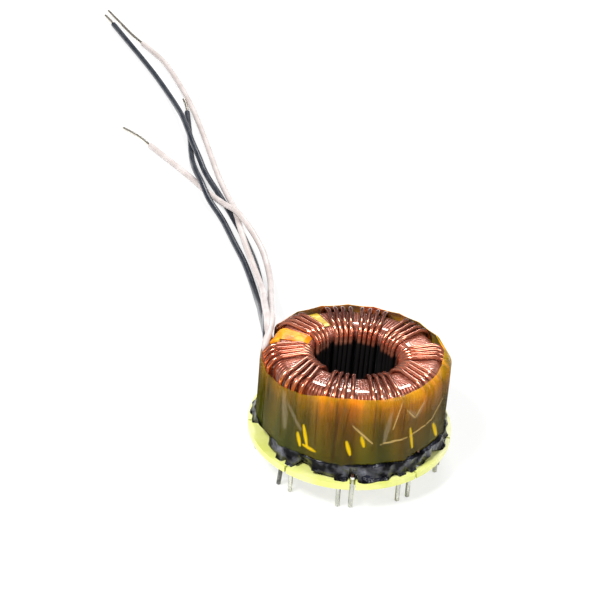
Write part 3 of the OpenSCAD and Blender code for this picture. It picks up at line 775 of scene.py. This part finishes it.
# the creases are raised as ridges in the film, and painted paler along them as a painted highlight
creases = [
    (1.6, 20.3, 13.8, 16.1, 0.24), (68.6, 21.3, 50, 17.6, 0.24), (50, 17.6, 37.6, 16.4, 0.24),
    (30.2, 25.5, 25.9, 18.9, 0.2), (18.7, 15.7, 36, 16.3, 0.25), (33.8, 23.4, 40.5, 20.7, 0.22),
    (40.5, 20.7, 47.1, 24.4, 0.22)]
# dark lines painted along the film's vertical folds: painted shade where the folds fall into shadow
fold_shades = [
    (-20.2, 24.5, -19.4, 11, 0.2), (-8.4, 25.5, -7.8, 10.5, 0.3), (-6.4, 25, -8.6, 10.5, 0.2),
    (-0.7, 25.5, -4.6, 14, 0.2), (13.9, 25.5, 14.2, 11, 0.2), (32.5, 24, 32.5, 11, 0.25),
    (-45.5, 22, -44, 11, 0.25)]
# pale streaks painted on the film: painted reflection of the bright room
painted_reflections = [
    (-43.5, 23.5, -41, 15, 1.1), (-40, 21.5, -29, 16.5, 0.6), (24, 23, 21, 16, 0.8),
    (35.5, 23, 41, 20.8, 0.9), (47, 23.5, 42, 20.8, 0.8)]
band_folds = folds(9, 6, 4.0, 12.0)
facet_depth, ripple_depth, crease_depth = 0.14, 0.05, 0.1
fold_shade_strength, painted_reflection_strength, paint_bottom, paint_height = 0.75, 0.2, 10.0, 17.5


def corner_lift(degrees):
    """The film's radius at an angle: most at its corners, least half-way between."""
    corner_r = band_r + band_stand
    for a, b in zip(band_corners, band_corners[1:] + [band_corners[0] + 360]):
        x = (degrees - band_corners[0]) % 360 + band_corners[0]
        if a <= x <= b:
            half_width = math.radians(b - a) / 2
            return corner_r * math.cos(half_width) / math.cos(math.radians(x - a) - half_width)


def stroke(degrees, z, marks):
    """The strongest of some short marks on the band at a point, 0 to 1."""
    best = 0.0
    x = (degrees + 180) % 360 - 180
    for a0, z0, a1, z1, width in marks:
        u = Vector(((x - a0) * band_mm_per_degree, z - z0))
        v = Vector(((a1 - a0) * band_mm_per_degree, z1 - z0))
        t = max(0.0, min(1.0, u.dot(v) / v.length_squared))
        away = (u - v * t).length
        taper = width * (0.55 + 0.45 * math.sin(math.pi * t))
        best = max(best, 1 - min(1.0, max(0.0, away / taper - 0.4) / 0.6))
    return best


def band_point(degrees, t):
    """A point of the film from its lower edge (t = 0) to its folded one (t = 1), and its paint."""
    fold = max(along(band_fold, degrees), 0.0)
    low = along(band_low, degrees)
    turned_in = abs((degrees - notch_angle + 180) % 360 - 180) < notch_half
    high = shoulder_z - notch_depth if turned_in else shoulder_z
    straight, over = high - low, 0 if turned_in else math.radians(fold) * fold_r
    s = t * (straight + over)
    r = corner_lift(degrees)
    lift = r - bend_outer
    if s <= straight:
        z = low + s
    else:
        turn = (s - straight) / fold_r
        z = shoulder_z + lift * math.sin(turn)
        r = bend_outer + lift * math.cos(turn)
    a = math.radians(degrees)
    rough = (crumple((21 * math.sin(a), 21 * math.cos(a), z * 0.4), band_folds) * facet_depth
             + ripple_depth * noise.noise(Vector((degrees * 0.8, z * 0.12, 3))))
    mark = stroke(degrees, z, creases)
    glint = stroke(degrees, z, glints)
    r += 0.08 + (rough + crease_depth * mark) * min(1.0, t * 6)
    # painted shade along the folds and painted reflection in pale streaks, as marks in the film's colour
    fold_shade, painted_reflection = fold_shade_strength * stroke(degrees, z, fold_shades), painted_reflection_strength * stroke(degrees, z, painted_reflections)
    rear = min(1.0, max(0.0, -0.2 - math.cos(a)) / 0.3)
    return lean @ at(r, degrees, z), glint, mark, (z - paint_bottom) / paint_height, rear, fold_shade, painted_reflection


amber = Finish("amber_film", (0.35, 0.2, 0.03), 0.14)
edge_on = amber.nodes.new("ShaderNodeLayerWeight")
edge_on.inputs["Blend"].default_value = 0.5
amber.give("Specular IOR Level", amber.between(edge_on.outputs["Facing"], 0.12, 0.0, 0.3, 0.75))
streaks = amber.uneven(260, stretch=(1, 1, 0.12), seed=14.0, strength=0.25, depth=0.0002)
up = amber.painted("height")
body = amber.ramp(
    up.outputs["Fac"], (0.0, (0.052, 0.050, 0.002)), (0.3, (0.085, 0.064, 0.003)), (0.6, (0.13, 0.075, 0.004)),
    (0.82, (0.34, 0.15, 0.005)), (1.0, (0.80, 0.40, 0.02)))
dark = amber.ramp(streaks.outputs["Mask"], (0.35, (0.5, 0.56, 0.45)), (0.65, (1.5, 1.35, 1.0)))
body = amber.mix(1.0, body, dark, "MULTIPLY")
broad = amber.uneven(95, stretch=(1, 1, 0.06), seed=24.0, normal=False)
broad_tint = amber.ramp(
    broad.outputs["Mask"], (0.36, (0.72, 0.95, 0.6)), (0.5, (1.0, 1.0, 1.0)), (0.62, (1.5, 0.85, 0.7)))
body = amber.mix(1.0, body, broad_tint, "MULTIPLY")
# painted light in the film's colour: pale streaks of painted reflection, dark lines of painted shade along the
# folds, and painted highlights at the glints and along the creases
for mark, colour in [("painted_reflection", (0.62, 0.52, 0.36)), ("fold_shade", (0.05, 0.016, 0.001)),
                     ("glint", (0.75, 0.50, 0.0)), ("crease", (0.60, 0.42, 0.16))]:
    body = amber.mix(amber.painted(mark).outputs["Fac"], body, colour)
amber.give("Base Color", body)
# the film hides more at the rear and low down
thick = amber.nodes.new("ShaderNodeMath")
thick.operation, thick.use_clamp = "MULTIPLY_ADD", True
rear_cover = 0.45
thick.inputs[1].default_value = rear_cover
amber.link(amber.painted("rear").outputs["Fac"], thick.inputs[0])
amber.link(amber.between(up.outputs["Fac"], 0.76, 0.40, 0.15, 0.95), thick.inputs[2])
amber.give("Alpha", thick.outputs[0])
band = skin("film_band", 56, 800, band_point, amber, 0.1,
            paint=("glint", "crease", "height", "rear", "fold_shade", "painted_reflection"))
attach(band, "root")
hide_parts("outer_band")

# The four leads.
# Stranded hook-up wire in plastic insulation, two black and two white, each stripped and tinned at
# its free end. They come up inside the band at the rear left and lie down behind the ring.
lead_d, bare_d = 1.6, 0.9
# each has its route in mm, the route of its stripped end, and its length in metres
leads = {
    "black_long": ([
        (-19.6, 4.4, 19.0), (-19.7, 4.5, 22.5),
        (-20.2, 5.6, 25.3), (-20.8, 12, 24.3), (-21.5, 21.5, 20.2), (-22, 32, 14.8), (-23, 44, 9.4),
        (-24, 53.5, 5), (-25.5, 63.5, 1.9), (-28, 75, 0.9), (-32, 87, 0.9), (-36, 97, 0.9),
        (-40.5, 107.5, 0.9), (-45.5, 118.5, 1.1), (-48.5, 126.5, 2), (-51, 133, 2.7), (-53, 139.5, 2.8),
        (-55.5, 147.5, 2.6), (-58, 155, 1.7), (-62, 165, 0.9), (-67, 175.5, 0.9), (-73, 187, 0.9),
        (-79, 198, 0.9), (-85, 209, 0.9)], [(-85, 209, 0.9), (-86.5, 211.75, 0.9), (-88.5, 215, 0.9)], 0.2278),
    "black_short": ([
        (-18.7, 7.7, 18.5), (-18.8, 7.8, 21.0),
        (-19.7, 7.8, 23.2), (-20.8, 12.5, 21.9), (-21.8, 21.5, 17.9), (-22.9, 32, 12.7),
        (-24.2, 44, 7.4), (-25.5, 53.5, 3.4), (-27.5, 63.5, 1.3), (-30.5, 74, 0.9), (-34.5, 84.5, 0.9),
        (-38.5, 95, 0.9), (-43, 103.5, 1.8), (-46, 111, 2.8), (-48.3, 117.5, 2.4), (-49.9, 124, 1.3),
        (-51, 130, 0.9), (-52.2, 138, 0.9), (-53.6, 146, 0.9), (-55, 154, 0.9)],
        [(-55, 154, 0.9), (-55.7, 158, 0.9), (-57, 162, 0.9)], 0.1612),
    "white_long": ([
        (-19.2, 6.2, 19.5), (-19.4, 6.2, 24.0),
        (-19.9, 6, 27.2), (-20.5, 12, 26.4), (-21.5, 21, 22.6), (-22.5, 32, 17.2), (-23.4, 43.5, 11.7),
        (-24.4, 53, 7.3), (-26, 62, 4.2), (-29, 73.5, 2.9), (-31, 80.5, 2.7), (-32.9, 87.5, 2.7),
        (-34.5, 94, 2.8), (-36, 99.5, 2.5), (-37.5, 105, 1.3), (-41.5, 116.5, 0.9), (-45.5, 130, 0.9),
        (-49.5, 143.5, 0.9), (-54, 157.5, 0.9), (-59, 170.5, 0.9), (-65, 184, 0.9), (-69.5, 191, 0.9),
        (-74, 197, 0.9)], [(-74, 197, 0.9), (-78, 202.5, 0.9), (-83, 210.5, 0.9), (-88, 218.5, 0.9)], 0.2135),
    "white_short": ([
        (-19.9, 0.6, 21.0), (-20.1, 0.7, 24.0), (-20.1, 1.4, 26.2),
        (-19.5, 5.0, 27.2), (-19.4, 11.5, 26.3), (-20.1, 21, 21.4), (-20.8, 32, 15.6), (-21.6, 44, 9.8),
        (-22.2, 53.5, 5.6), (-23, 63.5, 2.6), (-24.5, 73, 1.2), (-26.5, 80, 1.7), (-29.5, 86, 3),
        (-32.9, 91, 4.5), (-35.5, 95, 4.4), (-38.5, 99.5, 3.1), (-42.5, 106.5, 1.3), (-45, 110, 0.9),
        (-47.5, 113.5, 0.9), (-53, 120.5, 0.9), (-58, 126.5, 0.9), (-63, 132.5, 0.9)],
        [(-63, 132.5, 0.9), (-67, 137.3, 0.9), (-72, 141.5, 0.9)], 0.1552),
}


def spline(points):
    """A smooth run of points through a list of points."""
    steps = 6
    p = [Vector(q) for q in points]
    out = []
    for i in range(len(p) - 1):
        b, c = p[i], p[i + 1]
        a = p[i - 1] if i else 2 * b - c
        d = p[i + 2] if i < len(p) - 2 else 2 * c - b
        for k in range(steps + (i == len(p) - 2)):
            t = k / steps
            out.append(0.5 * (2 * b + (c - a) * t + (2 * a - 5 * b + 4 * c - d) * t * t
                              + (3 * b - 3 * c + d - a) * t ** 3))
    return out


def tube_curve(name, points, diameter, finish):
    """A round wire through points in mm."""
    curve = bpy.data.curves.new(name, "CURVE")
    curve.dimensions, curve.bevel_depth, curve.bevel_resolution = "3D", diameter * mm / 2, 5
    curve.use_fill_caps = True
    run = curve.splines.new("POLY")
    run.points.add(len(points) - 1)
    for spot, p in zip(run.points, points):
        spot.co = (*(p * mm), 1)
    curve.materials.append(finish.material)
    return placed(name, curve)


black = Finish("black_insulation", (0.02, 0.022, 0.03), 0.32)
worn = black.uneven(300, seed=15.0, strength=0.15)
black.mottle(worn, (0.35, (0.012, 0.016, 0.026)), (0.65, (0.035, 0.04, 0.05)))
white = Finish("white_insulation", (0.52, 0.46, 0.44), 0.4)
worn = white.uneven(200, seed=16.0, strength=0.15)
white.mottle(worn, (0.35, (0.46, 0.40, 0.38)), (0.65, (0.58, 0.52, 0.50)))
tinned_strands = Finish("bare_wire", (0.6, 0.52, 0.42), 0.35, Metallic=1.0)
worn = tinned_strands.uneven(1200, seed=17.0, strength=0.5)
tinned_strands.mottle(worn, (0.35, (0.60, 0.54, 0.45)), (0.65, (0.88, 0.85, 0.78)))
for name, (route, bare_route, length) in leads.items():
    colour = name.split("_")[0]
    lead = tube_curve(f"lead_{name}_cord", spline(route), lead_d, black if colour == "black" else white)
    bare = tube_curve(f"bare_{name}_wire", spline(bare_route), bare_d, tinned_strands)
    for piece, node_name, slot in [(lead, f"lead_{name}", colour + "_insulation"),
                                   (bare, f"bare_end_{name}", "bare_wire")]:
        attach(piece, "root")
        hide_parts(node_name)

# The floor, the light and the camera.
# A plain pale floor in a pale room, a small bright lamp above on the left, and two broad weak ones
# on the right and behind.
floor_mesh = bpy.data.meshes.new("floor")
floor_mesh.from_pydata([(-3, -3, 0), (3, -3, 0), (3, 3, 0), (-3, 3, 0)], [], [(0, 1, 2, 3)])
floor = placed("floor", floor_mesh)
paper = bpy.data.materials.new("pale_floor")
paper.use_nodes = True
nodes, link = paper.node_tree.nodes, paper.node_tree.links.new
paper_shader = nodes["Principled BSDF"]
paper_shader.inputs["Base Color"].default_value = (0.86, 0.86, 0.86, 1)
paper_shader.inputs["Roughness"].default_value = 0.9
glow, blend = nodes.new("ShaderNodeEmission"), nodes.new("ShaderNodeMixShader")
seen, share = nodes.new("ShaderNodeLightPath"), nodes.new("ShaderNodeMath")
floor_glow = 0.72
share.operation, share.inputs[1].default_value = "MULTIPLY", floor_glow
link(seen.outputs["Is Camera Ray"], share.inputs[0])
link(share.outputs[0], blend.inputs["Fac"])
link(paper_shader.outputs[0], blend.inputs[1])
link(glow.outputs[0], blend.inputs[2])
link(blend.outputs[0], nodes["Material Output"].inputs["Surface"])
floor_mesh.materials.append(paper)

world = bpy.data.worlds.new("room")
bpy.context.scene.world = world
world.use_nodes = True
nodes, link = world.node_tree.nodes, world.node_tree.links.new
room = nodes["Background"]
room.inputs["Color"].default_value = (1, 1, 1, 1)
room_light, gloss_change, view_change = 0.35, -0.2, 0.65
seen, lit = nodes.new("ShaderNodeLightPath"), nodes.new("ShaderNodeMath")
either = nodes.new("ShaderNodeMath")
either.operation = "MAXIMUM"
link(seen.outputs["Is Camera Ray"], either.inputs[0])
link(seen.outputs["Is Transmission Ray"], either.inputs[1])
gleam = nodes.new("ShaderNodeMath")
gleam.operation = "MULTIPLY_ADD"
gleam.inputs[1].default_value, gleam.inputs[2].default_value = gloss_change, room_light
link(seen.outputs["Is Glossy Ray"], gleam.inputs[0])
lit.operation, lit.inputs[1].default_value = "MULTIPLY_ADD", view_change
link(either.outputs[0], lit.inputs[0])
link(gleam.outputs[0], lit.inputs[2])
link(lit.outputs[0], room.inputs["Strength"])

aim = Vector((0, 0, 0.015))
for name, place, size, power in [
    ("key", (-0.30, -0.30, 0.62), 0.16, 6.4),
    ("fill", (0.5, -0.3, 0.45), 0.30, 2.0),
    ("rim", (0.05, 0.5, 0.5), 0.30, 3.5),
]:
    lamp = bpy.data.lights.new(name, "AREA")
    lamp.size, lamp.energy = size, power
    holder = placed(name, lamp)
    holder.location = place
    holder.rotation_euler = (aim - Vector(place)).to_track_quat("-Z", "Y").to_euler()

lens = bpy.data.cameras.new("camera")
lens.lens, lens.sensor_width = 119.107, 36.0
camera = placed("camera", lens)
camera.location = (0.0, -0.361216, 0.276371)
camera.rotation_euler = (math.radians(56.712), math.radians(-3.0107), math.radians(4.0242))
bpy.context.scene.camera = camera
bpy.context.scene.view_settings.view_transform = "Standard"
